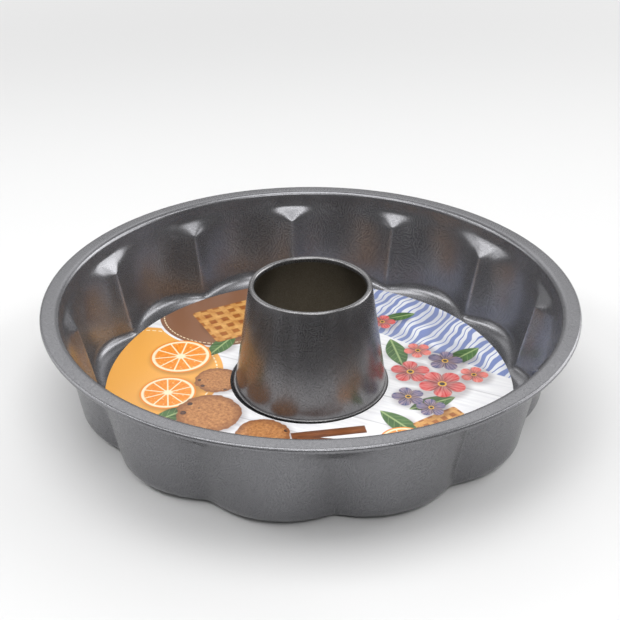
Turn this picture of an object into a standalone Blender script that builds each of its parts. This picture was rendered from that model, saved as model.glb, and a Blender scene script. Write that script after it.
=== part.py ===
"""Fluted ring cake pan with a centre tube and a printed card lying on its floor.

The pan is one pressed sheet of coated steel: a flat rim with its edge curled under, a round
collar, twelve scallops that meet in sharp upright ridges, a wide fillet, a base ring and a
floor panel set a little higher. The tube is a second pressing, clamped round the hole in the
floor between a bead above it and a flange turned out below it. The card is loose.

All lengths are metres. Z points up, and the origin is the centre of the base, on the table.
"""

import math

import bmesh
import bpy
from mathutils import Matrix, Vector

# Sheet and fits
SHEET = 0.0006
FIT_GAP = 0.0003

# Rim and collar
RIM_RADIUS = 0.1358
PAN_HEIGHT = 0.0563
FLANGE_WIDTH = 0.0102
RIM_CURL_BORE = 0.0008
RIM_LIP = 0.0032
COLLAR_BEND = 0.0022
COLLAR_DEPTH = 0.0084

# Scallops and the ridges between them
FLUTES = 12
SCALLOP_TAPER = 0.0066
RIDGE_FOOT_DEPTH = 0.0075
RIDGE_TOP_DEPTH = 0.0063
SHOULDER_HEIGHT = 0.0079
CREASE_ROUNDING_TOP = 0.0006
CREASE_ROUNDING_FOOT = 0.003
SHOULDER_LEAST_DROP = 0.0006
SCALLOP_FILLET = 0.0095
RIDGE_FILLET = 0.006

# Floor
BASE_RING_WIDTH = 0.0031
PANEL_STEP_RUN = 0.0016

# Centre tube
TUBE_FOOT_RADIUS = 0.0402
TUBE_TOP_RADIUS = 0.0317
TUBE_STANDS_PROUD = 0.0039
TUBE_CURL_BORE = 0.0008
TUBE_LIP = 0.0012
BEAD_WIDTH = 0.0011
BEAD_HEIGHT = 0.0012
SEAM_WIDTH = 0.004
SEAM_TABLE_GAP = 0.0005

# Printed card
CARD_THICKNESS = 0.0004
CARD_SHIFT = 0.0007
CARD_WALL_CLEARANCE = 0.0018
CARD_HOLE_CLEARANCE = 0.0003

# How finely the round shapes are drawn
COLUMN_SHARES = (0.0, 0.055, 0.18, 0.4, 0.68)
RIM_CURL_STEPS = 4
COLLAR_FILLET_STEPS = 3
FOOT_FILLET_STEPS = 3
TUBE_CURL_STEPS = 6
BEAD_STEPS = 4
TURNED_STEPS = 60
SHARPEST_SMOOTH_ANGLE = 35

# Worked out from the sizes above
FLUTE_ANGLE = 2 * math.pi / FLUTES
HALF_FLUTE = FLUTE_ANGLE / 2
RIM_CURL_RADIUS = RIM_CURL_BORE + SHEET
TUBE_CURL_RADIUS = TUBE_CURL_BORE + SHEET
COLLAR_FILLET = COLLAR_BEND + SHEET
COLLAR_RADIUS = RIM_RADIUS - FLANGE_WIDTH
SHOULDER_TOP = PAN_HEIGHT - COLLAR_DEPTH
RIDGE_TOP = SHOULDER_TOP - SHOULDER_HEIGHT
BASE_TOP = SHEET
COLLAR_LEAN = SCALLOP_TAPER / (SHOULDER_TOP - BASE_TOP)
SEAM_TOP = SEAM_TABLE_GAP + SHEET
FLOOR_TOP = SEAM_TOP + FIT_GAP + SHEET
SCALLOP_FOOT_RADIUS = COLLAR_RADIUS - SCALLOP_TAPER
RIDGE_FOOT_RADIUS = SCALLOP_FOOT_RADIUS - RIDGE_FOOT_DEPTH
RIDGE_TOP_RADIUS = COLLAR_RADIUS - RIDGE_TOP_DEPTH
FLOOR_HOLE_RADIUS = TUBE_FOOT_RADIUS + FIT_GAP
BEAD_RADIUS = TUBE_FOOT_RADIUS + BEAD_WIDTH


def clear_scene():
    """Removes every object that the file starts with."""
    for old in list(bpy.data.objects):
        bpy.data.objects.remove(old)


def coated_steel(name, colour, roughness):
    """A metallic coating with a satin finish."""
    material = bpy.data.materials.new(name)
    material.use_nodes = True
    shader = material.node_tree.nodes["Principled BSDF"]
    shader.inputs["Base Color"].default_value = (*colour, 1.0)
    shader.inputs["Metallic"].default_value = 0.85
    shader.inputs["Roughness"].default_value = roughness
    return material


def printed_board():
    """Coated cardboard, in the orange that covers much of the print."""
    material = bpy.data.materials.new("printed_board")
    material.use_nodes = True
    shader = material.node_tree.nodes["Principled BSDF"]
    shader.inputs["Base Color"].default_value = (0.86, 0.55, 0.2, 1.0)
    shader.inputs["Roughness"].default_value = 0.35
    return material


def arc(centre, radius, start, end, steps):
    """Points in the (radius, height) plane along an arc, with angles in degrees."""
    points = []
    for step in range(steps + 1):
        angle = math.radians(start + (end - start) * step / steps)
        points.append((centre[0] + radius * math.cos(angle), centre[1] + radius * math.sin(angle)))
    return points


def scallop_radius(from_ridge, scallop, ridge, crease_rounding):
    """Radius of the wall in plan: an arc from ridge to ridge that bulges out to the scallop's radius."""
    rounding = crease_rounding / ridge
    rounded = math.hypot(from_ridge, rounding) - rounding
    turn = HALF_FLUTE * (1 - rounded / (math.hypot(HALF_FLUTE, rounding) - rounding))
    half_chord = ridge * math.sin(HALF_FLUTE)
    rise = scallop - ridge * math.cos(HALF_FLUTE)
    arc_radius = (half_chord**2 + rise**2) / (2 * rise)
    centre = scallop - arc_radius
    return centre * math.cos(turn) + math.sqrt(arc_radius**2 - (centre * math.sin(turn)) ** 2)


def wall_line(from_ridge):
    """The wall's radius at the base ring's top, and how much it leans out for each metre of height."""
    height = SHOULDER_TOP - BASE_TOP
    ridge_lean = (RIDGE_TOP_RADIUS - RIDGE_FOOT_RADIUS) / (RIDGE_TOP - BASE_TOP)
    ridge_top = RIDGE_FOOT_RADIUS + ridge_lean * height
    foot = scallop_radius(from_ridge, SCALLOP_FOOT_RADIUS, RIDGE_FOOT_RADIUS, CREASE_ROUNDING_FOOT)
    top = scallop_radius(from_ridge, COLLAR_RADIUS, ridge_top, CREASE_ROUNDING_TOP)
    return foot, (top - foot) / height


def foot_fillet(foot, lean):
    """Centre and radius of the fillet between the leaning wall and the base ring, tighter at the ridges."""
    share = (foot - RIDGE_FOOT_RADIUS) / RIDGE_FOOT_DEPTH
    radius = RIDGE_FILLET + (SCALLOP_FILLET - RIDGE_FILLET) * share
    return (foot + radius * (lean - math.hypot(1, lean)), BASE_TOP + radius), radius


def ridge_reach(height):
    """Radius of the ridge's fillet at a height above the table, the narrowest place that the card passes."""
    centre, radius = foot_fillet(*wall_line(0.0))
    drop = min(max(centre[1] - height, 0.0), radius)
    return centre[0] + math.sqrt(radius**2 - drop**2)


def wall_section(from_ridge):
    """From the collar's foot to the base ring. The sloping shoulder over each ridge narrows beside it."""
    foot, lean = wall_line(from_ridge)
    shoulder_lean = RIDGE_TOP_DEPTH / SHOULDER_HEIGHT
    wall_under_collar = foot + lean * (SHOULDER_TOP - BASE_TOP)
    drop = (COLLAR_RADIUS - wall_under_collar) / (shoulder_lean - lean)
    edge = SHOULDER_TOP - max(drop, SHOULDER_LEAST_DROP)
    fillet_centre, fillet_radius = foot_fillet(foot, lean)
    fillet = arc(fillet_centre, fillet_radius, -math.degrees(math.atan(lean)), -90, FOOT_FILLET_STEPS)
    wall = [(foot + lean * (height - BASE_TOP), height) for height in (edge, (edge + fillet[0][1]) / 2)]
    return [(COLLAR_RADIUS, SHOULDER_TOP), *wall, *fillet]


def pan_section(from_ridge):
    """One radial section through the upper face of the sheet, from the rim's lip to the hole in the floor."""
    curl_centre = (RIM_RADIUS - RIM_CURL_RADIUS, PAN_HEIGHT - RIM_CURL_RADIUS)
    bend_height = PAN_HEIGHT - COLLAR_FILLET
    collar_there = COLLAR_RADIUS + COLLAR_LEAN * (bend_height - SHOULDER_TOP)
    bend_centre = (collar_there + COLLAR_FILLET * math.hypot(1, COLLAR_LEAN), bend_height)
    bend_end = 180 - math.degrees(math.atan(COLLAR_LEAN))
    ridge_fillet_centre, _ = foot_fillet(*wall_line(0.0))
    panel_foot = ridge_fillet_centre[0] - BASE_RING_WIDTH
    return [
        (curl_centre[0] - RIM_LIP, PAN_HEIGHT - 2 * RIM_CURL_RADIUS),
        *arc(curl_centre, RIM_CURL_RADIUS, -90, 90, RIM_CURL_STEPS),
        *arc(bend_centre, COLLAR_FILLET, 90, bend_end, COLLAR_FILLET_STEPS),
        *wall_section(from_ridge),
        (panel_foot, BASE_TOP),
        (panel_foot - PANEL_STEP_RUN, FLOOR_TOP),
        (FLOOR_HOLE_RADIUS, FLOOR_TOP),
    ]


def column_angles():
    """Pairs of angle round the pan and angle from the nearest ridge, closer together beside the ridges."""
    shares = [*COLUMN_SHARES, 1.0, *(2 - share for share in reversed(COLUMN_SHARES[1:]))]
    pairs = []
    for flute in range(FLUTES):
        for share in shares:
            from_ridge = HALF_FLUTE * min(share, 2 - share)
            pairs.append((flute * FLUTE_ANGLE + share * HALF_FLUTE, from_ridge))
    return pairs


def lofted_ring(name, sections):
    """An open sheet lofted through radial sections, given as (angle, points), and closed round the axis."""
    mesh = bmesh.new()
    columns = []
    for angle, points in sections:
        turn = Matrix.Rotation(angle, 4, "Z")
        columns.append([mesh.verts.new(turn @ Vector((r, 0, z))) for r, z in points])
    for column, following in zip(columns, columns[1:] + columns[:1]):
        for row in range(len(column) - 1):
            mesh.faces.new((column[row], following[row], following[row + 1], column[row + 1]))
    data = bpy.data.meshes.new(name)
    mesh.to_mesh(data)
    mesh.free()
    return bpy.data.objects.new(name, data)


def turned(name, profile):
    """A solid of revolution, from a closed (radius, height) outline that runs down its outer side."""
    data = bpy.data.meshes.new(name)
    count = len(profile)
    edges = [(index, (index + 1) % count) for index in range(count)]
    data.from_pydata([(r, 0, z) for r, z in profile], edges, [])
    piece = bpy.data.objects.new(name, data)
    screw = piece.modifiers.new("turn", "SCREW")
    screw.steps = TURNED_STEPS
    screw.render_steps = TURNED_STEPS
    screw.use_merge_vertices = True
    screw.merge_threshold = 0.00001
    return piece


def make_pan_body():
    """The pressed pan: a lofted sheet, thickened away from the side that the cake touches."""
    sections = [(angle, pan_section(from_ridge)) for angle, from_ridge in column_angles()]
    pan = lofted_ring("pan_body", sections)
    shell = pan.modifiers.new("sheet", "SOLIDIFY")
    shell.thickness = SHEET
    shell.offset = -1.0
    shell.use_even_offset = True
    pan.data.materials.append(coated_steel("pan_coating", (0.2, 0.2, 0.21), 0.38))
    return pan


def make_centre_tube():
    """The cone-shaped tube, with a curled top, a bead on the floor and a flange turned out under it."""
    tube_top = PAN_HEIGHT + TUBE_STANDS_PROUD
    bead_bottom = FLOOR_TOP + FIT_GAP
    bead_top = bead_bottom + BEAD_HEIGHT
    seam_radius = TUBE_FOOT_RADIUS + SEAM_WIDTH
    bore_foot_radius = TUBE_FOOT_RADIUS - SHEET
    curl_centre = (TUBE_TOP_RADIUS - TUBE_CURL_RADIUS, tube_top - TUBE_CURL_RADIUS)
    run = TUBE_FOOT_RADIUS - TUBE_TOP_RADIUS
    taper = math.degrees(math.atan(run / (curl_centre[1] - bead_top)))
    lip_end = curl_centre[1] - TUBE_LIP
    lip_outside = curl_centre[0] - TUBE_CURL_BORE
    bead_round = BEAD_HEIGHT / 2
    bead_centre = (BEAD_RADIUS - bead_round, bead_bottom + bead_round)
    profile = [
        *arc(curl_centre, TUBE_CURL_RADIUS, 180, taper, TUBE_CURL_STEPS),
        (TUBE_FOOT_RADIUS, bead_top),
        *arc(bead_centre, bead_round, 90, -90, BEAD_STEPS),
        (TUBE_FOOT_RADIUS, bead_bottom),
        (TUBE_FOOT_RADIUS, SEAM_TOP),
        (seam_radius, SEAM_TOP),
        (seam_radius, SEAM_TABLE_GAP),
        (bore_foot_radius, SEAM_TABLE_GAP),
        (bore_foot_radius, bead_top),
        *arc(curl_centre, TUBE_CURL_BORE, taper, 180, TUBE_CURL_STEPS),
        (lip_outside, lip_end),
        (lip_outside - SHEET, lip_end),
    ]
    tube = turned("centre_tube", profile)
    tube.data.materials.append(coated_steel("tube_coating", (0.17, 0.17, 0.17), 0.34))
    return tube


def make_insert_card():
    """The loose printed card, which has slid towards -X until its hole nearly meets the bead."""
    bottom = FLOOR_TOP + FIT_GAP
    top = bottom + CARD_THICKNESS
    outer = ridge_reach(bottom) - CARD_SHIFT - CARD_WALL_CLEARANCE
    hole = BEAD_RADIUS + CARD_SHIFT + CARD_HOLE_CLEARANCE
    card = turned("insert_card", [(outer, top), (outer, bottom), (hole, bottom), (hole, top)])
    card.location.x = -CARD_SHIFT
    card.data.materials.append(printed_board())
    return card


def main():
    clear_scene()
    collection = bpy.data.collections.new("fluted_ring_cake_pan")
    bpy.context.scene.collection.children.link(collection)
    for piece in (make_pan_body(), make_centre_tube(), make_insert_card()):
        collection.objects.link(piece)
        piece.data.shade_smooth()
        piece.data.set_sharp_from_angle(angle=math.radians(SHARPEST_SMOOTH_ANGLE))


main()
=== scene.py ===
"""How the fluted ring cake pan looks: satin coated steel, a printed card on its floor, a pale studio."""

import math

import bmesh
import bpy
from mathutils import Matrix, Vector


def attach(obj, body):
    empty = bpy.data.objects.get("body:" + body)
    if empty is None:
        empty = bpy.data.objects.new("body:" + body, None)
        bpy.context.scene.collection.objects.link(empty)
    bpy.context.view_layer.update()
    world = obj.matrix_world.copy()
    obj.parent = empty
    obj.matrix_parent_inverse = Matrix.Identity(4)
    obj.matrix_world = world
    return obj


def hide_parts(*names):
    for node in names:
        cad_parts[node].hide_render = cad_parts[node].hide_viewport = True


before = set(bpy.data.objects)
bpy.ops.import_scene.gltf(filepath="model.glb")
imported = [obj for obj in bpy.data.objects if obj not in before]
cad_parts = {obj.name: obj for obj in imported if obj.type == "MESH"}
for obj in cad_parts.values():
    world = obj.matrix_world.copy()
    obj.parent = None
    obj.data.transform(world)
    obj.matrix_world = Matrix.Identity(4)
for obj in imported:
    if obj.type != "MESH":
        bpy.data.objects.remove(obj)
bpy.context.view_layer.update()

# Sizes of the pan, as in its CAD source, in metres
SHEET = 0.0006
FIT_GAP = 0.0003
RIM_RADIUS = 0.1358
PAN_HEIGHT = 0.0563
FLANGE_WIDTH = 0.0102
RIM_CURL_BORE = 0.0008
RIM_LIP = 0.0032
COLLAR_BEND = 0.0022
COLLAR_DEPTH = 0.0084
FLUTES = 12
SCALLOP_TAPER = 0.0066
RIDGE_FOOT_DEPTH = 0.0075
RIDGE_TOP_DEPTH = 0.0063
SHOULDER_HEIGHT = 0.0079
CREASE_ROUNDING_TOP = 0.0006
CREASE_ROUNDING_FOOT = 0.003
SCALLOP_FILLET = 0.0095
RIDGE_FILLET = 0.006
BASE_RING_WIDTH = 0.0031
PANEL_STEP_RUN = 0.0016
TUBE_FOOT_RADIUS = 0.0402
TUBE_TOP_RADIUS = 0.0317
TUBE_STANDS_PROUD = 0.0039
TUBE_CURL_BORE = 0.0008
TUBE_LIP = 0.0012
BEAD_WIDTH = 0.0011
BEAD_HEIGHT = 0.0012
SEAM_WIDTH = 0.004
SEAM_TABLE_GAP = 0.0005
CARD_THICKNESS = 0.0004
CARD_SHIFT = 0.0007
CARD_WALL_CLEARANCE = 0.0018
CARD_HOLE_CLEARANCE = 0.0003

# Sizes of details that only the fine surface has
SHOULDER_EDGE_SOFTNESS = 0.0004
SHOULDER_EDGE_FADE = (0.0, 0.010)
SHOULDER_EDGE_FADED = 0.0035
SHOULDER_BEND_SOFTNESS = 0.001
SHOULDER_BEND_FADE = (0.005, 0.016)
SHOULDER_BEND_FADED = 0.003
SHOULDER_ROWS_FROM = 0.0523
SHOULDER_ROWS_TO = 0.0368
STEP_ROUNDING = 0.0007
ROUNDING_SHARE = 0.48
PANEL_EDGE_BAND = 0.004
CARD_EDGE_ROUNDING = 0.00008

# Steps that the fine surface takes along its outlines and round its axis
RIM_CURL_STEPS = 14
FLANGE_STEPS = 4
COLLAR_BEND_STEPS = 10
SHOULDER_ROWS = 46
WALL_STEPS = 8
FOOT_FILLET_STEPS = 12
PANEL_CORNER_STEPS = 4
PANEL_STEPS = 4
TUBE_OUTER_CURL_STEPS = 16
TUBE_INNER_CURL_STEPS = 12
TUBE_WALL_STEPS = 8
BEAD_STEPS = 8
COLUMNS_PER_HALF_FLUTE = 18
COLUMN_CROWDING = 1.7
TURNED_STEPS = 240

# Corners sharper than this many degrees stay sharp in the shading
TUBE_SHARP_FROM = 50
CARD_SHARP_FROM = 40

# Grain of the coating: scales of its noise, and how far each kind shifts the tone or the roughness
FLECK_SCALE = 2600.0
MOTTLE_SCALE = 1400.0
CLOUD_SCALE = 34.0
MOTTLE_TONE = 0.05
CLOUD_TONE = 0.06
FLECK_ROUGHNESS = 0.05
CLOUD_ROUGHNESS = 0.02
FLECK_HEIGHT = 0.00003
FLECK_STRENGTH = 0.03
# Painted highlight along the pan's inner ridges: its width in metres, and how much it lightens the coating's
# tone
PAINTED_HIGHLIGHT_WIDTH = 0.0014
PAINTED_HIGHLIGHT_GAIN = 0.6

# The card's print: planks in metres and degrees, and how far the printed shadows lie off their motifs
PLANK_WIDTH = 0.024
PLANK_TURN = 24
PRINT_SHADOW = Vector((0.0012, -0.0014, 0))
PRINT_SHADOW_OUTSIDE = 0.0035
PRINT_SHADOW_INSIDE = 0.002
PRINT_SHADOW_DEPTH = 0.6

# Shares of the card's thickness, from underneath, at which its edge passes from board to print
PRINT_FROM = 0.7
PRINT_FULL = 0.8

# The studio: its size in metres, and how bright its backdrop and walls are, where 1 is white
FLOOR_REACH = 8.0
FLOOR_SIDES = 96
FLOOR_FADE = (0.35, 1.2)
BACKDROP = 0.87
CAMERA_SIDE = 0.08
CEILING = 0.25
LEFT_WALL = 2.0
RIGHT_WALL = 3.6
BACK_WALL_FOOT = 0.4
BACK_WALL_TOP = 1.75

# Worked out from the sizes above
HALF_FLUTE = math.pi / FLUTES
RIM_CURL_RADIUS = RIM_CURL_BORE + SHEET
TUBE_CURL_RADIUS = TUBE_CURL_BORE + SHEET
COLLAR_FILLET = COLLAR_BEND + SHEET
COLLAR_RADIUS = RIM_RADIUS - FLANGE_WIDTH
SHOULDER_TOP = PAN_HEIGHT - COLLAR_DEPTH
RIDGE_TOP = SHOULDER_TOP - SHOULDER_HEIGHT
BASE_TOP = SHEET
COLLAR_LEAN = SCALLOP_TAPER / (SHOULDER_TOP - BASE_TOP)
SEAM_TOP = SEAM_TABLE_GAP + SHEET
FLOOR_TOP = SEAM_TOP + FIT_GAP + SHEET
CARD_BOTTOM = FLOOR_TOP + FIT_GAP
SCALLOP_FOOT_RADIUS = COLLAR_RADIUS - SCALLOP_TAPER
RIDGE_FOOT_RADIUS = SCALLOP_FOOT_RADIUS - RIDGE_FOOT_DEPTH
RIDGE_TOP_RADIUS = COLLAR_RADIUS - RIDGE_TOP_DEPTH
FLOOR_HOLE_RADIUS = TUBE_FOOT_RADIUS + FIT_GAP
BEAD_RADIUS = TUBE_FOOT_RADIUS + BEAD_WIDTH

# The photograph's camera, turned to the pan's own axes
CAMERA_TURN = math.radians(-5.455)
CAMERA_ROLL = math.radians(-0.05)
CAMERA_PLACE = (-0.00028, -0.48342, FLOOR_TOP + 0.31510)
CAMERA_TARGET = (-0.00028, 0.0, FLOOR_TOP + 0.04245)
CAMERA_LENS = 62.28


def srgb(red, green, blue):
    """A colour given in 0 to 255 display values, as the linear values that shaders take."""
    linear = []
    for value in (red, green, blue):
        share = value / 255
        linear.append(share / 12.92 if share <= 0.04045 else ((share + 0.055) / 1.055) ** 2.4)
    return (*linear, 1.0)


def grey(level):
    """A neutral colour from its linear level."""
    return (level, level, level, 1.0)


class Nodes:
    """Adds nodes to one tree and links them."""

    def __init__(self, tree):
        self.tree = tree

    def join(self, source, socket):
        self.tree.links.new(source, socket)

    def feed(self, socket, value):
        if isinstance(value, bpy.types.NodeSocket):
            self.join(value, socket)
        else:
            socket.default_value = value

    def add(self, kind, inputs=None, **settings):
        node = self.tree.nodes.new(kind)
        for name, value in settings.items():
            setattr(node, name, value)
        for name, value in (inputs or {}).items():
            self.feed(node.inputs[name], value)
        return node

    def math(self, operation, first, second=0.0, third=0.0):
        inputs = {0: first, 1: second, 2: third}
        return self.add("ShaderNodeMath", inputs, operation=operation).outputs[0]

    def mix(self, share, first, second, blend="MIX"):
        node = self.tree.nodes.new("ShaderNodeMix")
        node.data_type = "RGBA"
        node.blend_type = blend
        self.feed(node.inputs[0], share)
        self.feed(node.inputs[6], first)
        self.feed(node.inputs[7], second)
        return node.outputs[2]

    def stain(self, colour, stain):
        """A colour that is multiplied by another one."""
        return self.mix(1.0, colour, stain, blend="MULTIPLY")

    def ramp(self, value, low, high, out_low=0.0, out_high=1.0, smooth=False):
        """Takes a value from one range to another and holds it at both ends."""
        node = self.tree.nodes.new("ShaderNodeMapRange")
        node.interpolation_type = "SMOOTHSTEP" if smooth else "LINEAR"
        for socket, entry in zip(node.inputs, (value, low, high, out_low, out_high)):
            self.feed(socket, entry)
        return node.outputs[0]

    def noise(self, place, scale, detail=2.0, roughness=0.5):
        settings = {"Vector": place, "Scale": scale, "Detail": detail, "Roughness": roughness}
        return self.add("ShaderNodeTexNoise", settings).outputs["Fac"]

    def sway(self, noise, reach):
        """A shift by up to a reach down or up, which follows noise."""
        return self.ramp(noise, 0.3, 0.7, -reach, reach)

    def axes(self, vector):
        return tuple(self.add("ShaderNodeSeparateXYZ", {"Vector": vector}).outputs)

    def length(self, vector):
        return self.add("ShaderNodeVectorMath", {0: vector}, operation="LENGTH").outputs["Value"]

    def times(self, vector, factors):
        inputs = {0: vector, 1: factors}
        return self.add("ShaderNodeVectorMath", inputs, operation="MULTIPLY").outputs[0]


def new_material(name):
    """An empty node material, its helper, its shader and its object coordinates in metres."""
    material = bpy.data.materials.new(name)
    material.use_nodes = True
    nodes = Nodes(material.node_tree)
    shader = material.node_tree.nodes["Principled BSDF"]
    place = nodes.add("ShaderNodeTexCoord").outputs["Object"]
    return material, nodes, shader, place


def painted_ridge_highlight(nodes, place):
    """Share of a painted highlight, full along the sharp ridges on the pan's inside and nothing beside them.
    """
    x, y, z = nodes.axes(place)
    from_ridge = nodes.math("PINGPONG", nodes.math("ARCTAN2", y, x), HALF_FLUTE)
    beside = nodes.math("MULTIPLY", from_ridge, RIDGE_TOP_RADIUS)
    line = nodes.ramp(beside, PAINTED_HIGHLIGHT_WIDTH, 0.0, smooth=True)
    over_fillet = nodes.ramp(z, RIDGE_FILLET, 2 * RIDGE_FILLET, smooth=True)
    under_shoulder = nodes.ramp(z, RIDGE_TOP, RIDGE_TOP - PAINTED_HIGHLIGHT_WIDTH)
    normal = nodes.add("ShaderNodeTexCoord").outputs["Normal"]
    outwards = nodes.add("ShaderNodeVectorMath", {0: place, 1: normal}, operation="DOT_PRODUCT")
    inside = nodes.math("LESS_THAN", outwards.outputs["Value"], 0.0)
    share = nodes.math("MULTIPLY", nodes.math("MULTIPLY", over_fillet, under_shoulder), inside)
    return nodes.math("MULTIPLY", share, line)


def coated_steel(name, dark, light, metallic, roughness, painted_highlight=None):
    """Satin non-stick coating: fine bright flecks in a grey ground, and paler where a painted highlight's
    mask is given.
    """
    material, nodes, shader, place = new_material(name)
    flecks = nodes.noise(place, FLECK_SCALE, detail=1.0)
    mottle = nodes.noise(place, MOTTLE_SCALE, detail=1.0)
    cloud = nodes.noise(place, CLOUD_SCALE, detail=3.0)
    ground = nodes.mix(nodes.ramp(flecks, 0.34, 0.68), dark, light)
    cloud_tone = nodes.ramp(cloud, 0.25, 0.75, 1 - CLOUD_TONE, 1 + CLOUD_TONE)
    tone = nodes.math("ADD", cloud_tone, nodes.sway(mottle, MOTTLE_TONE))
    # Painted highlight: the tone is raised where the mask is full
    if painted_highlight:
        tone = nodes.math("MULTIPLY_ADD", painted_highlight(nodes, place), PAINTED_HIGHLIGHT_GAIN, tone)
    toned = nodes.add("ShaderNodeVectorMath", {0: ground, "Scale": tone}, operation="SCALE")
    fleck_roughness = nodes.ramp(flecks, 0.3, 0.7, roughness + FLECK_ROUGHNESS, roughness - FLECK_ROUGHNESS)
    cloud_roughness = nodes.ramp(cloud, 0.25, 0.75, -CLOUD_ROUGHNESS, CLOUD_ROUGHNESS)
    relief = {"Strength": FLECK_STRENGTH, "Distance": FLECK_HEIGHT, "Height": flecks}
    nodes.feed(shader.inputs["Base Color"], toned.outputs[0])
    nodes.feed(shader.inputs["Metallic"], metallic)
    nodes.feed(shader.inputs["Roughness"], nodes.math("ADD", fleck_roughness, cloud_roughness))
    nodes.feed(shader.inputs["Normal"], nodes.add("ShaderNodeBump", relief).outputs[0])
    return material


def arc(centre, radius, start, end, steps):
    """Points in the (radius, height) plane along an arc, with angles in degrees."""
    points = []
    for step in range(steps + 1):
        angle = math.radians(start + (end - start) * step / steps)
        points.append((centre[0] + radius * math.cos(angle), centre[1] + radius * math.sin(angle)))
    return points


def between(start, end, share):
    """The point at a share of the way from one point to another."""
    return (start[0] + (end[0] - start[0]) * share, start[1] + (end[1] - start[1]) * share)


def stretch(start, end, steps):
    """Points strictly between two points, evenly spaced."""
    return [between(start, end, step / steps) for step in range(1, steps)]


def rounded_corner(before, corner, after, size, steps):
    """A smooth curve that leaves the first line and joins the second about a size away from their corner."""
    arms = []
    for end in (before, after):
        share = min(size / math.dist(end, corner), ROUNDING_SHARE)
        arms.append(between(corner, end, share))
    points = []
    for step in range(steps + 1):
        share = step / steps
        weights = ((1 - share) ** 2, 2 * share * (1 - share), share**2)
        corners = (arms[0], corner, arms[1])
        points.append(tuple(sum(w * c[axis] for w, c in zip(weights, corners)) for axis in range(2)))
    return points


def scallop_radius(from_ridge, scallop, ridge, crease_rounding):
    """Radius of the wall in plan: an arc from ridge to ridge that bulges out to the scallop's radius."""
    rounding = crease_rounding / ridge
    rounded = math.hypot(from_ridge, rounding) - rounding
    turn = HALF_FLUTE * (1 - rounded / (math.hypot(HALF_FLUTE, rounding) - rounding))
    half_chord = ridge * math.sin(HALF_FLUTE)
    rise = scallop - ridge * math.cos(HALF_FLUTE)
    arc_radius = (half_chord**2 + rise**2) / (2 * rise)
    centre = scallop - arc_radius
    return centre * math.cos(turn) + math.sqrt(arc_radius**2 - (centre * math.sin(turn)) ** 2)


def wall_line(from_ridge):
    """The wall's radius at the base ring's top, and how much it leans out for each metre of height."""
    height = SHOULDER_TOP - BASE_TOP
    ridge_lean = (RIDGE_TOP_RADIUS - RIDGE_FOOT_RADIUS) / (RIDGE_TOP - BASE_TOP)
    ridge_top = RIDGE_FOOT_RADIUS + ridge_lean * height
    foot = scallop_radius(from_ridge, SCALLOP_FOOT_RADIUS, RIDGE_FOOT_RADIUS, CREASE_ROUNDING_FOOT)
    top = scallop_radius(from_ridge, COLLAR_RADIUS, ridge_top, CREASE_ROUNDING_TOP)
    return foot, (top - foot) / height


def foot_fillet(foot, lean):
    """Centre and radius of the fillet between the leaning wall and the base ring, tighter at the ridges."""
    share = (foot - RIDGE_FOOT_RADIUS) / RIDGE_FOOT_DEPTH
    radius = RIDGE_FILLET + (SCALLOP_FILLET - RIDGE_FILLET) * share
    return (foot + radius * (lean - math.hypot(1, lean)), BASE_TOP + radius), radius


def ridge_reach(height):
    """Radius of the ridge's fillet at a height above the table, the narrowest place that the card passes."""
    centre, radius = foot_fillet(*wall_line(0.0))
    drop = min(max(centre[1] - height, 0.0), radius)
    return centre[0] + math.sqrt(radius**2 - drop**2)


def eased(past, softness):
    """Nothing before a corner and the way past it after, with the corner itself softened."""
    return (past + math.hypot(past, softness)) / 2


def faded(near, far, way, limits):
    """A value that passes smoothly from one to another between two ways from the ridge."""
    share = min(max((way - limits[0]) / (limits[1] - limits[0]), 0), 1)
    return near + (far - near) * share**2 * (3 - 2 * share)


def wall_section(from_ridge):
    """From the collar's foot to the base ring. The sloping shoulder over each ridge fades out beside it."""
    foot, lean = wall_line(from_ridge)
    shoulder_lean = RIDGE_TOP_DEPTH / SHOULDER_HEIGHT
    wall_under_collar = foot + lean * (SHOULDER_TOP - BASE_TOP)
    edge = SHOULDER_TOP - (COLLAR_RADIUS - wall_under_collar) / (shoulder_lean - lean)
    way = from_ridge * COLLAR_RADIUS
    edge_softness = faded(SHOULDER_EDGE_SOFTNESS, SHOULDER_EDGE_FADED, way, SHOULDER_EDGE_FADE)
    bend_softness = faded(SHOULDER_BEND_SOFTNESS, SHOULDER_BEND_FADED, way, SHOULDER_BEND_FADE)
    points = []
    for row in range(SHOULDER_ROWS + 1):
        height = SHOULDER_ROWS_FROM + (SHOULDER_ROWS_TO - SHOULDER_ROWS_FROM) * row / SHOULDER_ROWS
        radius = foot + lean * (height - BASE_TOP)
        radius += (shoulder_lean - lean) * eased(height - edge, edge_softness)
        radius += (COLLAR_LEAN - shoulder_lean) * eased(height - SHOULDER_TOP, bend_softness)
        points.append((radius, height))
    fillet_centre, fillet_radius = foot_fillet(foot, lean)
    fillet_start = -math.degrees(math.atan(lean))
    fillet = arc(fillet_centre, fillet_radius, fillet_start, -90, FOOT_FILLET_STEPS)
    return [*points, *stretch(points[-1], fillet[0], WALL_STEPS), *fillet]


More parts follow.
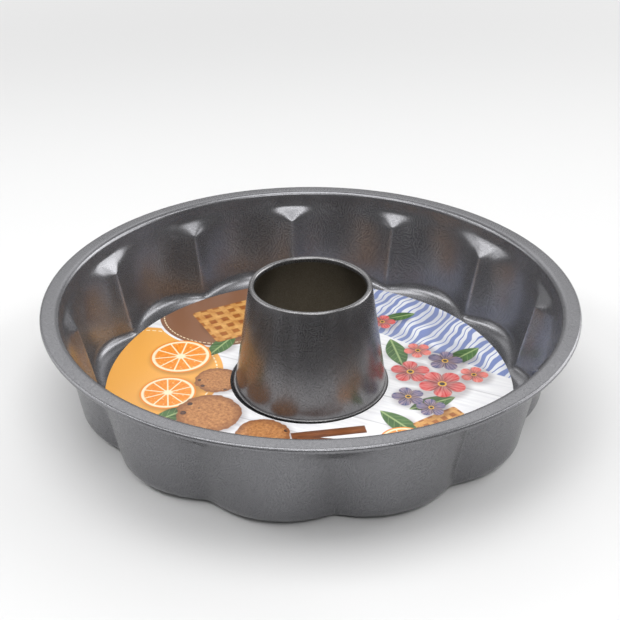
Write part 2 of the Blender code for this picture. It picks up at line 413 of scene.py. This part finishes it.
def pan_section(from_ridge):
    """One radial section through the upper face of the sheet, from the rim's lip to the hole in the floor."""
    curl_centre = (RIM_RADIUS - RIM_CURL_RADIUS, PAN_HEIGHT - RIM_CURL_RADIUS)
    bend_height = PAN_HEIGHT - COLLAR_FILLET
    collar_there = COLLAR_RADIUS + COLLAR_LEAN * (bend_height - SHOULDER_TOP)
    bend_centre = (collar_there + COLLAR_FILLET * math.hypot(1, COLLAR_LEAN), bend_height)
    bend_end = 180 - math.degrees(math.atan(COLLAR_LEAN))
    ridge_fillet_centre, _ = foot_fillet(*wall_line(0.0))
    panel_foot = (ridge_fillet_centre[0] - BASE_RING_WIDTH, BASE_TOP)
    panel_edge = (panel_foot[0] - PANEL_STEP_RUN, FLOOR_TOP)
    panel_inside = (panel_edge[0] - PANEL_EDGE_BAND, FLOOR_TOP)
    floor_hole = (FLOOR_HOLE_RADIUS, FLOOR_TOP)
    curl = arc(curl_centre, RIM_CURL_RADIUS, -90, 90, RIM_CURL_STEPS)
    bend = arc(bend_centre, COLLAR_FILLET, 90, bend_end, COLLAR_BEND_STEPS)
    wall = wall_section(from_ridge)
    return [
        (curl_centre[0] - RIM_LIP, PAN_HEIGHT - 2 * RIM_CURL_RADIUS),
        *curl,
        *stretch(curl[-1], bend[0], FLANGE_STEPS),
        *bend,
        *wall,
        *rounded_corner(wall[-1], panel_foot, panel_edge, STEP_ROUNDING, PANEL_CORNER_STEPS),
        *rounded_corner(panel_foot, panel_edge, panel_inside, STEP_ROUNDING, PANEL_CORNER_STEPS),
        panel_inside,
        *stretch(panel_inside, floor_hole, PANEL_STEPS),
        floor_hole,
    ]


def column_angles():
    """Pairs of angle round the pan and angle from the nearest ridge, closest together at the ridges."""
    shares = []
    for step in range(COLUMNS_PER_HALF_FLUTE + 1):
        shares.append((step / COLUMNS_PER_HALF_FLUTE) ** COLUMN_CROWDING)
    shares += [2 - share for share in reversed(shares[1:-1])]
    pairs = []
    for flute in range(FLUTES):
        for share in shares:
            pairs.append((HALF_FLUTE * (2 * flute + share), HALF_FLUTE * min(share, 2 - share)))
    return pairs


def link(name, mesh):
    """A new object in the scene from a finished bmesh."""
    data = bpy.data.meshes.new(name)
    mesh.to_mesh(data)
    mesh.free()
    piece = bpy.data.objects.new(name, data)
    bpy.context.scene.collection.objects.link(piece)
    data.shade_smooth()
    return piece


def make_pan():
    """The pressed pan as one fine sheet, thickened away from the side that the cake touches."""
    mesh = bmesh.new()
    columns = []
    for angle, from_ridge in column_angles():
        turn = Matrix.Rotation(angle, 4, "Z")
        columns.append([mesh.verts.new(turn @ Vector((r, 0, z))) for r, z in pan_section(from_ridge)])
    for column, following in zip(columns, columns[1:] + columns[:1]):
        for row in range(len(column) - 1):
            mesh.faces.new((column[row], following[row], following[row + 1], column[row + 1]))
    pan = link("pressed_pan", mesh)
    shell = pan.modifiers.new("sheet", "SOLIDIFY")
    shell.thickness = SHEET
    shell.offset = -1.0
    shell.use_even_offset = True
    coating = coated_steel(
        "pan_satin_coating",
        dark=srgb(116, 116, 119),
        light=srgb(135, 135, 138),
        metallic=0.74,
        roughness=0.27,
        # a painted highlight along the inner ridges
        painted_highlight=painted_ridge_highlight,
    )
    pan.data.materials.append(coating)
    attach(pan, "pan")
    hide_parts("pan_body")


def spin(name, profile):
    """A solid of revolution from a closed outline in the (radius, height) plane."""
    mesh = bmesh.new()
    rings = []
    for step in range(TURNED_STEPS):
        angle = 2 * math.pi * step / TURNED_STEPS
        rings.append([mesh.verts.new((r * math.cos(angle), r * math.sin(angle), z)) for r, z in profile])
    for ring, following in zip(rings, rings[1:] + rings[:1]):
        for index in range(len(profile)):
            after = (index + 1) % len(profile)
            mesh.faces.new((ring[index], ring[after], following[after], following[index]))
    return link(name, mesh)


def make_tube():
    """The tube, with its rolled top, its bead on the floor and its flange under the floor."""
    tube_top = PAN_HEIGHT + TUBE_STANDS_PROUD
    bead_bottom = FLOOR_TOP + FIT_GAP
    bead_top = bead_bottom + BEAD_HEIGHT
    seam_radius = TUBE_FOOT_RADIUS + SEAM_WIDTH
    bore_foot = (TUBE_FOOT_RADIUS - SHEET, bead_top)
    curl_centre = (TUBE_TOP_RADIUS - TUBE_CURL_RADIUS, tube_top - TUBE_CURL_RADIUS)
    run = TUBE_FOOT_RADIUS - TUBE_TOP_RADIUS
    taper = math.degrees(math.atan(run / (curl_centre[1] - bead_top)))
    lip_end = curl_centre[1] - TUBE_LIP
    lip_outside = curl_centre[0] - TUBE_CURL_BORE
    bead_round = BEAD_HEIGHT / 2
    bead_centre = (BEAD_RADIUS - bead_round, bead_bottom + bead_round)
    outer_curl = arc(curl_centre, TUBE_CURL_RADIUS, 180, taper, TUBE_OUTER_CURL_STEPS)
    outer_foot = (TUBE_FOOT_RADIUS, bead_top)
    inner_curl = arc(curl_centre, TUBE_CURL_BORE, taper, 180, TUBE_INNER_CURL_STEPS)
    profile = [
        *outer_curl,
        *stretch(outer_curl[-1], outer_foot, TUBE_WALL_STEPS),
        outer_foot,
        *arc(bead_centre, bead_round, 90, -90, BEAD_STEPS),
        (TUBE_FOOT_RADIUS, bead_bottom),
        (TUBE_FOOT_RADIUS, SEAM_TOP),
        (seam_radius, SEAM_TOP),
        (seam_radius, SEAM_TABLE_GAP),
        (TUBE_FOOT_RADIUS - SHEET, SEAM_TABLE_GAP),
        bore_foot,
        *stretch(bore_foot, inner_curl[0], TUBE_WALL_STEPS),
        *inner_curl,
        (lip_outside, lip_end),
        (lip_outside - SHEET, lip_end),
    ]
    tube = spin("turned_tube", profile)
    tube.data.set_sharp_from_angle(angle=math.radians(TUBE_SHARP_FROM))
    coating = coated_steel(
        "tube_satin_coating",
        dark=srgb(116, 115, 116),
        light=srgb(135, 134, 135),
        metallic=0.82,
        roughness=0.26,
    )
    # Painted shade and a painted warm reflection: a darker, warmer copy of the coating for the inside of the
    # tube
    bore_painted_shade_and_reflection = coated_steel(
        "tube_bore_painted_shade_and_reflection",
        dark=srgb(90, 82, 68),
        light=srgb(112, 104, 90),
        metallic=0.8,
        roughness=0.32,
    )
    tube.data.materials.append(coating)
    tube.data.materials.append(bore_painted_shade_and_reflection)
    # The tube's inner faces take the painted shade and reflection
    for face in tube.data.polygons:
        inward = face.normal.xy.dot(face.center.xy) < 0
        if inward and bead_bottom < face.center.z < lip_end:
            face.material_index = 1
    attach(tube, "pan")
    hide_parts("centre_tube")


def make_card():
    """The loose card, a die-cut ring of board with its print on top."""
    top = CARD_BOTTOM + CARD_THICKNESS
    outer = ridge_reach(CARD_BOTTOM) - CARD_SHIFT - CARD_WALL_CLEARANCE
    hole = BEAD_RADIUS + CARD_SHIFT + CARD_HOLE_CLEARANCE
    edge = CARD_EDGE_ROUNDING
    profile = [
        (outer - edge, top),
        (outer, top - edge),
        (outer, CARD_BOTTOM),
        (hole, CARD_BOTTOM),
        (hole, top - edge),
        (hole + edge, top),
    ]
    card = spin("printed_ring_card", profile)
    card.data.transform(Matrix.Translation((-CARD_SHIFT, 0, 0)))
    card.data.set_sharp_from_angle(angle=math.radians(CARD_SHARP_FROM))
    card.data.materials.append(card_print())
    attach(card, "card")
    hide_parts("insert_card")


def motif(name, draw):
    """A node group for one printed motif, which it draws within one unit round its own centre."""
    tree = bpy.data.node_groups.new(name, "ShaderNodeTree")
    for socket, kind in (("Place", "NodeSocketVector"), ("Tint", "NodeSocketColor")):
        tree.interface.new_socket(socket, in_out="INPUT", socket_type=kind)
    for socket, kind in (("Color", "NodeSocketColor"), ("Cover", "NodeSocketFloat")):
        tree.interface.new_socket(socket, in_out="OUTPUT", socket_type=kind)
    nodes = Nodes(tree)
    entry = tree.nodes.new("NodeGroupInput")
    colour, cover = draw(nodes, entry.outputs["Place"], entry.outputs["Tint"])
    leave = tree.nodes.new("NodeGroupOutput")
    nodes.join(colour, leave.inputs["Color"])
    nodes.join(cover, leave.inputs["Cover"])
    return tree


def polar(nodes, place):
    """Distance from the motif's centre and angle round it."""
    x, y, _ = nodes.axes(place)
    return nodes.length(place), nodes.math("ARCTAN2", y, x)


def streaks(nodes, angle, away, round_scale, out_scale):
    """Noise that is drawn out along the radius."""
    around = nodes.math("MULTIPLY", angle, round_scale)
    outward = nodes.math("MULTIPLY", away, out_scale)
    drawn_out = nodes.add("ShaderNodeCombineXYZ", {"X": around, "Y": outward}).outputs[0]
    return nodes.noise(drawn_out, 1.0, detail=3.0)


def waves(nodes, value, count):
    """A zigzag from 0 to 1, which passes through 0 a count of times for each unit."""
    return nodes.math("MULTIPLY", nodes.math("PINGPONG", nodes.math("MULTIPLY", value, count), 0.5), 2.0)


def draw_citrus(nodes, place, tint):
    """A cut slice: peel, pith, and ten segments with pulp between thin skins."""
    away, angle = polar(nodes, place)
    from_skin = nodes.math("MULTIPLY", waves(nodes, angle, 10 / (2 * math.pi)), away)
    off_pith = nodes.ramp(away, 0.86, 0.80, smooth=True)
    off_core = nodes.ramp(away, 0.1, 0.2, smooth=True)
    inside = nodes.math("MULTIPLY", off_pith, off_core)
    flesh = nodes.math("MULTIPLY", nodes.ramp(from_skin, 0.03, 0.12, smooth=True), inside)
    pulp = nodes.ramp(streaks(nodes, angle, away, 9.0, 5.0), 0.35, 0.7)
    juicy = nodes.mix(pulp, nodes.stain(tint, srgb(240, 214, 170)), tint)
    glint = nodes.ramp(nodes.noise(place, 9.0, detail=1.0), 0.62, 0.72, 0.0, 0.5)
    colour = nodes.mix(flesh, srgb(252, 236, 200), nodes.mix(glint, juicy, srgb(255, 232, 180)))
    peel = nodes.ramp(away, 0.915, 0.94)
    return nodes.mix(peel, colour, srgb(236, 140, 36)), nodes.ramp(away, 1.0, 0.985)


def draw_biscuit(nodes, place, tint):
    """A round biscuit with a crumbly top, a browned edge and dark chips."""
    ragged = nodes.math("ADD", nodes.length(place), nodes.sway(nodes.noise(place, 2.6), 0.05))
    crumb = nodes.ramp(nodes.noise(place, 8.0, detail=5.0, roughness=0.65), 0.35, 0.66)
    top = nodes.mix(crumb, nodes.stain(tint, srgb(190, 168, 150)), tint)
    browned = nodes.mix(nodes.ramp(ragged, 0.62, 1.0, 0.0, 0.7, smooth=True), top, srgb(122, 70, 36))
    spots = nodes.add("ShaderNodeTexVoronoi", {"Vector": place, "Scale": 2.3}).outputs["Distance"]
    inner = nodes.ramp(ragged, 0.92, 0.84)
    chips = nodes.math("MULTIPLY", nodes.ramp(spots, 0.25, 0.21), inner)
    lit = nodes.mix(nodes.ramp(spots, 0.0, 0.2), srgb(104, 66, 48), srgb(58, 34, 24))
    return nodes.mix(chips, browned, lit), nodes.ramp(ragged, 1.0, 0.97)


def draw_waffle(nodes, place, tint):
    """A square waffle with ridges between square pits."""
    x, y, _ = nodes.axes(place)
    across = nodes.math("MINIMUM", waves(nodes, x, 2.5), waves(nodes, y, 2.5))
    pit = nodes.ramp(across, 0.3, 0.6, smooth=True)
    toast = nodes.ramp(nodes.noise(place, 3.2, detail=5.0, roughness=0.6), 0.35, 0.7)
    ridge = nodes.mix(toast, tint, nodes.stain(tint, srgb(206, 172, 130)))
    colour = nodes.mix(pit, ridge, nodes.stain(ridge, srgb(196, 160, 124)))
    edge = nodes.math("SMOOTH_MAX", nodes.math("ABSOLUTE", x), nodes.math("ABSOLUTE", y), 0.2)
    return colour, nodes.ramp(edge, 1.0, 0.97)


def draw_blossom(nodes, place, tint):
    """An open flower with five petals, darker between them and towards its middle."""
    away, angle = polar(nodes, place)
    lobes = nodes.math("ABSOLUTE", nodes.math("COSINE", nodes.math("MULTIPLY", angle, 2.5)))
    limit = nodes.math("MULTIPLY_ADD", nodes.math("POWER", lobes, 0.5), 0.45, 0.55)
    veins = nodes.ramp(streaks(nodes, angle, away, 7.0, 1.5), 0.35, 0.65, 0.0, 0.35)
    deep = nodes.stain(tint, srgb(150, 120, 130))
    depth = nodes.math("MULTIPLY", nodes.ramp(away, 0.1, 0.75, smooth=True), nodes.ramp(lobes, 0.1, 0.6))
    petal = nodes.mix(veins, nodes.mix(depth, deep, tint), srgb(255, 214, 206))
    stamens = nodes.mix(nodes.ramp(away, 0.13, 0.1), srgb(226, 176, 64), srgb(58, 44, 40))
    colour = nodes.mix(nodes.ramp(away, 0.2, 0.17), petal, stamens)
    return colour, nodes.ramp(nodes.math("SUBTRACT", away, limit), 0.0, -0.05)


def draw_leaf(nodes, place, tint):
    """A pointed leaf with a rib and side veins."""
    along, y, _ = nodes.axes(place)
    beside = nodes.math("ABSOLUTE", y)
    width = nodes.math("MULTIPLY_ADD", nodes.math("MULTIPLY", along, along), -0.4, 0.4)
    slanted = waves(nodes, nodes.math("ADD", along, beside), 3.5)
    rib = nodes.ramp(beside, 0.05, 0.02)
    veins = nodes.math("MAXIMUM", rib, nodes.ramp(slanted, 0.16, 0.04, 0.0, 0.5))
    tone = nodes.ramp(nodes.noise(place, 2.0), 0.3, 0.7)
    blade = nodes.mix(tone, nodes.stain(tint, srgb(170, 186, 168)), tint)
    colour = nodes.mix(veins, blade, srgb(158, 180, 122))
    return colour, nodes.ramp(nodes.math("SUBTRACT", beside, width), 0.0, -0.03)


def draw_stick(nodes, place, tint):
    """A rolled stick of bark, shaded as a cylinder."""
    x, y, _ = nodes.axes(place)
    beside = nodes.math("ABSOLUTE", y)
    bark = nodes.ramp(nodes.noise(nodes.times(place, (2.0, 26.0, 0.0)), 1.0, detail=3.0), 0.3, 0.7)
    colour = nodes.mix(bark, nodes.stain(tint, srgb(170, 150, 140)), tint)
    rounded = nodes.mix(nodes.ramp(beside, 0.05, 0.17, 0.0, 0.7), colour, srgb(70, 38, 22))
    ends = nodes.ramp(nodes.math("ABSOLUTE", x), 1.0, 0.98)
    return rounded, nodes.math("MULTIPLY", ends, nodes.ramp(beside, 0.17, 0.155))


def draw_cloth(nodes, place, tint):
    """A striped cloth that fills the half plane above its edge, with soft folds."""
    x, y, _ = nodes.axes(place)
    folds = nodes.noise(place, 1.1, detail=1.0)
    bent = nodes.math("ADD", x, nodes.sway(folds, 0.12))
    stripe = nodes.ramp(waves(nodes, bent, 3.0), 0.58, 0.64)
    thin = nodes.ramp(waves(nodes, nodes.math("ADD", bent, 1 / 6), 3.0), 0.9, 0.94)
    weave = nodes.ramp(nodes.noise(place, 60.0, detail=1.0), 0.3, 0.7, 0.0, 0.25)
    ground = nodes.mix(weave, nodes.mix(stripe, srgb(240, 241, 245), tint), srgb(210, 214, 226))
    hollows = nodes.ramp(folds, 0.35, 0.6, 0.35, 0.0, smooth=True)
    shaded = nodes.mix(hollows, ground, srgb(120, 126, 150))
    striped = nodes.mix(thin, shaded, tint)
    edge = nodes.math("ADD", y, nodes.sway(folds, 0.05))
    return striped, nodes.ramp(edge, 0.0, 0.012)


def draw_mat(nodes, place, tint):
    """A round mat in one colour, with a stitched line near its edge."""
    away, angle = polar(nodes, place)
    weave = nodes.ramp(nodes.noise(place, 90.0, detail=1.0), 0.3, 0.7, 0.0, 0.16)
    cloth = nodes.mix(weave, tint, nodes.stain(tint, srgb(225, 214, 196)))
    ring = nodes.ramp(nodes.math("ABSOLUTE", nodes.math("SUBTRACT", away, 0.93)), 0.011, 0.006)
    stitches = nodes.math("MULTIPLY", ring, nodes.ramp(waves(nodes, angle, 13.0), 0.3, 0.4))
    return nodes.mix(stitches, cloth, srgb(255, 236, 200)), nodes.ramp(away, 1.0, 0.994)


# Each motif: what draws it, and how far it and its shadow reach from its middle, as shares of its size
MOTIFS = {
    "cloth": (draw_cloth, 1.04, 0.0),
    "mat": (draw_mat, 1.04, 0.0),
    "leaf": (draw_leaf, 1.04, 0.45),
    "waffle": (draw_waffle, 1.42, 1.0),
    "citrus": (draw_citrus, 1.04, 1.0),
    "biscuit": (draw_biscuit, 1.04, 1.0),
    "stick": (draw_stick, 1.04, 0.0),
    "blossom": (draw_blossom, 1.04, 1.0),
}

ORANGE = srgb(250, 158, 44)
GOLD = srgb(228, 176, 104)
BROWN = srgb(206, 146, 88)
RED = srgb(206, 44, 46)
PINK = srgb(226, 104, 92)
NAVY = srgb(62, 76, 124)
GREEN = srgb(84, 122, 66)
BARK = srgb(150, 92, 52)
BLUE = srgb(112, 132, 192)
APRICOT = srgb(244, 176, 82)
BOARD = srgb(140, 98, 72)

# The card's printed design, from its lowest layer up. A layer is a motif and its spots, which keep clear
# of each other. A spot is a place from the card's centre and a size, both in millimetres, then a turn in
# degrees and a tint.
CARD_LAYERS = (
    ("cloth", [(34, 50, 24, -35, BLUE)]),
    ("mat", [(-97, 4, 50, 0, APRICOT), (-52, 70, 37, 0, BOARD)]),
    ("leaf", [(-50, 34, 14, 60, GREEN), (-70, -34, 14, 215, GREEN), (45, -42, 15, 130, GREEN)]),
    ("waffle", [(-45, 62, 19, 28, GOLD), (-8, 78, 17, 60, GOLD), (70, -46, 14, 34, GOLD)]),
    ("citrus", [(-72, 22, 17, 10, ORANGE), (-75, -14, 15, 25, ORANGE), (46, -58, 13, 0, ORANGE)]),
    ("biscuit", [(-50, -2, 12, 40, BROWN), (-52, -33, 17, 0, BROWN), (-24, -52, 14, 120, BROWN)]),
    ("stick", [(9, -50, 19, 10, BARK)]),
    ("stick", [(12, -58, 19, -8, BARK)]),
    (
        "leaf",
        [
            (63, -24, 14, 24, GREEN),
            (48, 26, 15, 100, GREEN),
            (84, 22, 14, 40, GREEN),
            (52, 66, 11, 20, GREEN),
        ],
    ),
    (
        "blossom",
        [
            (54, 6, 11, 15, RED),
            (74, 17, 10, 5, NAVY),
            (51, -18, 9, 30, NAVY),
            (88, 3, 8, 70, PINK),
        ],
    ),
    (
        "blossom",
        [
            (70, -6, 13, 50, RED),
            (60, 28, 8, 44, PINK),
            (62, -28, 8, 20, NAVY),
            (42, 60, 8, 0, RED),
        ],
    ),
)


def print_ground(nodes, place):
    """Pale washed boards under the printed motifs."""
    turn = {"Vector": place, "Rotation": (0, 0, math.radians(PLANK_TURN))}
    boards = nodes.add("ShaderNodeMapping", turn).outputs[0]
    _, y, _ = nodes.axes(boards)
    seam = nodes.ramp(waves(nodes, y, 1 / PLANK_WIDTH), 0.05, 0.015, 0.0, 0.6)
    grain = nodes.ramp(nodes.noise(nodes.times(boards, (40.0, 520.0, 0.0)), 1.0, detail=4.0), 0.35, 0.75)
    wood = nodes.mix(grain, srgb(247, 247, 248), srgb(226, 226, 230))
    return nodes.mix(seam, wood, srgb(186, 184, 186))


def nearest_spot(nodes, place, spots, reach):
    """Place within the motif that covers a point, and its tint, among spots that keep clear of each other."""
    local = None
    for x, y, size, turn, colour in spots:
        settings = {
            "Vector": place,
            "Location": (x / 1000, y / 1000, 0),
            "Rotation": (0, 0, math.radians(turn)),
            "Scale": (size / 1000, size / 1000, 1),
        }
        own = nodes.add("ShaderNodeMapping", settings, vector_type="TEXTURE").outputs[0]
        if local is None:
            local, tint = own, colour
        else:
            near = nodes.math("LESS_THAN", nodes.length(own), reach)
            local = nodes.mix(near, local, own)
            tint = nodes.mix(near, tint, colour)
    return local, tint


def print_shadow(nodes, place, spots, reach):
    """Share of shadow that a layer's motifs cast on what is printed under them."""
    shade = 0.0
    for x, y, size, _, _ in spots:
        ends = {0: place, 1: Vector((x, y, 0)) / 1000 + PRINT_SHADOW}
        away = nodes.add("ShaderNodeVectorMath", ends, operation="DISTANCE").outputs["Value"]
        edge = size * reach / 1000
        outside = edge + PRINT_SHADOW_OUTSIDE
        inside = edge - PRINT_SHADOW_INSIDE
        own = nodes.ramp(away, outside, inside, 0.0, PRINT_SHADOW_DEPTH, smooth=True)
        shade = nodes.math("MAXIMUM", own, shade)
    return shade


def card_print():
    """Glossy print on the card's top face, and plain board at its edges and underneath."""
    material, nodes, shader, place = new_material("card_print")
    groups = {name: motif(name, draw) for name, (draw, _, _) in MOTIFS.items()}
    turn = {"Vector": nodes.times(place, (1.0, 1.0, 0.0)), "Rotation": (0, 0, -CAMERA_TURN)}
    turned = nodes.add("ShaderNodeMapping", turn).outputs[0]
    colour = print_ground(nodes, turned)
    for name, spots in CARD_LAYERS:
        _, reach, shadow_reach = MOTIFS[name]
        if shadow_reach:
            shade = print_shadow(nodes, turned, spots, shadow_reach)
            colour = nodes.mix(shade, colour, srgb(160, 150, 150), blend="MULTIPLY")
        spot, tint = nearest_spot(nodes, turned, spots, reach)
        drawn = nodes.add("ShaderNodeGroup", node_tree=groups[name])
        nodes.feed(drawn.inputs["Place"], spot)
        nodes.feed(drawn.inputs["Tint"], tint)
        colour = nodes.mix(drawn.outputs["Cover"], colour, drawn.outputs["Color"])
    _, _, height = nodes.axes(place)
    fibres = nodes.ramp(nodes.noise(place, 700.0, detail=3.0), 0.3, 0.7)
    board = nodes.mix(fibres, srgb(196, 192, 184), srgb(222, 219, 212))
    print_from = CARD_BOTTOM + CARD_THICKNESS * PRINT_FROM
    print_full = CARD_BOTTOM + CARD_THICKNESS * PRINT_FULL
    face = nodes.ramp(height, print_from, print_full)
    nodes.feed(shader.inputs["Base Color"], nodes.mix(face, board, colour))
    nodes.feed(shader.inputs["Roughness"], nodes.ramp(face, 0.0, 1.0, 0.85, 0.3))
    return material


def make_floor():
    """A wide round floor, which passes into the backdrop's tone far from the pan."""
    mesh = bmesh.new()
    bmesh.ops.create_circle(mesh, cap_ends=True, segments=FLOOR_SIDES, radius=FLOOR_REACH)
    floor = link("studio_floor", mesh)
    material, nodes, shader, place = new_material("studio_floor")
    shader.inputs["Base Color"].default_value = srgb(222, 222, 222)
    shader.inputs["Roughness"].default_value = 1.0
    shader.inputs["Specular IOR Level"].default_value = 0.0
    far = nodes.ramp(nodes.length(place), *FLOOR_FADE, smooth=True)
    rays = nodes.add("ShaderNodeLightPath")
    seen = nodes.math("MAXIMUM", rays.outputs["Is Camera Ray"], rays.outputs["Is Glossy Ray"])
    backdrop = nodes.add("ShaderNodeEmission", {"Color": grey(BACKDROP)})
    faded_floor = nodes.add("ShaderNodeMixShader", {"Fac": nodes.math("MULTIPLY", far, seen)})
    nodes.join(shader.outputs[0], faded_floor.inputs[1])
    nodes.join(backdrop.outputs[0], faded_floor.inputs[2])
    nodes.join(faded_floor.outputs[0], material.node_tree.nodes["Material Output"].inputs["Surface"])
    floor.data.materials.append(material)


def make_world():
    """Pale studio walls: bright behind the pan and low at its sides, dark on the camera's side."""
    world = bpy.data.worlds.new("studio")
    bpy.context.scene.world = world
    world.use_nodes = True
    nodes = Nodes(world.node_tree)
    background = world.node_tree.nodes["Background"]
    direction = nodes.add("ShaderNodeTexCoord").outputs["Generated"]
    rightwards, depth, height = nodes.axes(direction)
    low = nodes.ramp(height, 0.52, 0.32, smooth=True)
    beside = nodes.math("MULTIPLY", nodes.ramp(depth, -0.35, 0.0, smooth=True), low)
    under_ceiling = nodes.ramp(height, 0.9, 0.7, smooth=True)
    behind = nodes.math("MULTIPLY", nodes.ramp(depth, 0.5, 0.75, smooth=True), under_ceiling)
    overhead = nodes.ramp(height, 0.35, 0.75, smooth=True)
    elsewhere = nodes.mix(overhead, grey(CAMERA_SIDE), grey(CEILING))
    on_the_right = nodes.ramp(rightwards, -0.3, 0.3, smooth=True)
    side_walls = nodes.mix(on_the_right, grey(LEFT_WALL), grey(RIGHT_WALL))
    climb = nodes.ramp(height, 0.40, 0.56)
    back_wall = nodes.mix(climb, grey(BACK_WALL_FOOT), grey(BACK_WALL_TOP))
    around = nodes.mix(behind, nodes.mix(beside, elsewhere, side_walls), back_wall)
    seen = nodes.add("ShaderNodeLightPath").outputs["Is Camera Ray"]
    nodes.feed(background.inputs["Color"], nodes.mix(seen, around, grey(BACKDROP)))
    background.inputs["Strength"].default_value = 1.0


def make_softbox(name, azimuth, elevation, roll, distance, width, height, radiance):
    """A rectangular lamp that faces the pan. Azimuth 0 is the camera's side, and 90 the right."""
    turn = math.radians(azimuth)
    rise = math.radians(elevation)
    way = Vector((math.sin(turn) * math.cos(rise), -math.cos(turn) * math.cos(rise), math.sin(rise)))
    across = Vector((0, 0, 1)).cross(way).normalized()
    facing = Matrix((across, way.cross(across), way)).transposed()
    data = bpy.data.lights.new(name, "AREA")
    data.shape = "RECTANGLE"
    data.size = width
    data.size_y = height
    data.energy = radiance * math.pi * width * height
    lamp = bpy.data.objects.new(name, data)
    lamp.location = way * distance
    lamp.rotation_euler = (facing @ Matrix.Rotation(math.radians(roll), 3, "Z")).to_euler()
    lamp.visible_camera = False
    bpy.context.scene.collection.objects.link(lamp)


def make_lights():
    """A wide soft box overhead, a small one in front, and a long slanting one at each side."""
    make_softbox(
        "softbox_overhead",
        azimuth=-45,
        elevation=87,
        roll=45,
        distance=1.2,
        width=0.95,
        height=0.7,
        radiance=3.6,
    )
    make_softbox(
        "softbox_front",
        azimuth=8,
        elevation=49,
        roll=0,
        distance=1.3,
        width=0.7,
        height=0.36,
        radiance=4.8,
    )
    make_softbox(
        "softbox_left",
        azimuth=-85.6,
        elevation=47.1,
        roll=27.4,
        distance=1.3,
        width=1.4,
        height=0.26,
        radiance=5.0,
    )
    make_softbox(
        "softbox_right",
        azimuth=102.9,
        elevation=39.7,
        roll=-30.2,
        distance=1.3,
        width=1.4,
        height=0.26,
        radiance=4.4,
    )


def make_camera():
    """The photograph's view of the pan."""
    data = bpy.data.cameras.new("photograph_view")
    camera = bpy.data.objects.new("photograph_view", data)
    bpy.context.scene.collection.objects.link(camera)
    turn = Matrix.Rotation(CAMERA_TURN, 3, "Z")
    camera.location = turn @ Vector(CAMERA_PLACE)
    look = turn @ Vector(CAMERA_TARGET) - camera.location
    camera.rotation_euler = look.to_track_quat("-Z", "Y").to_euler()
    camera.rotation_euler.rotate_axis("Z", CAMERA_ROLL)
    data.sensor_width = 36.0
    data.lens = CAMERA_LENS
    data.clip_start = 0.01
    bpy.context.scene.camera = camera


make_pan()
make_tube()
make_card()
make_floor()
make_world()
make_lights()
make_camera()
bpy.context.scene.view_settings.view_transform = "Standard"
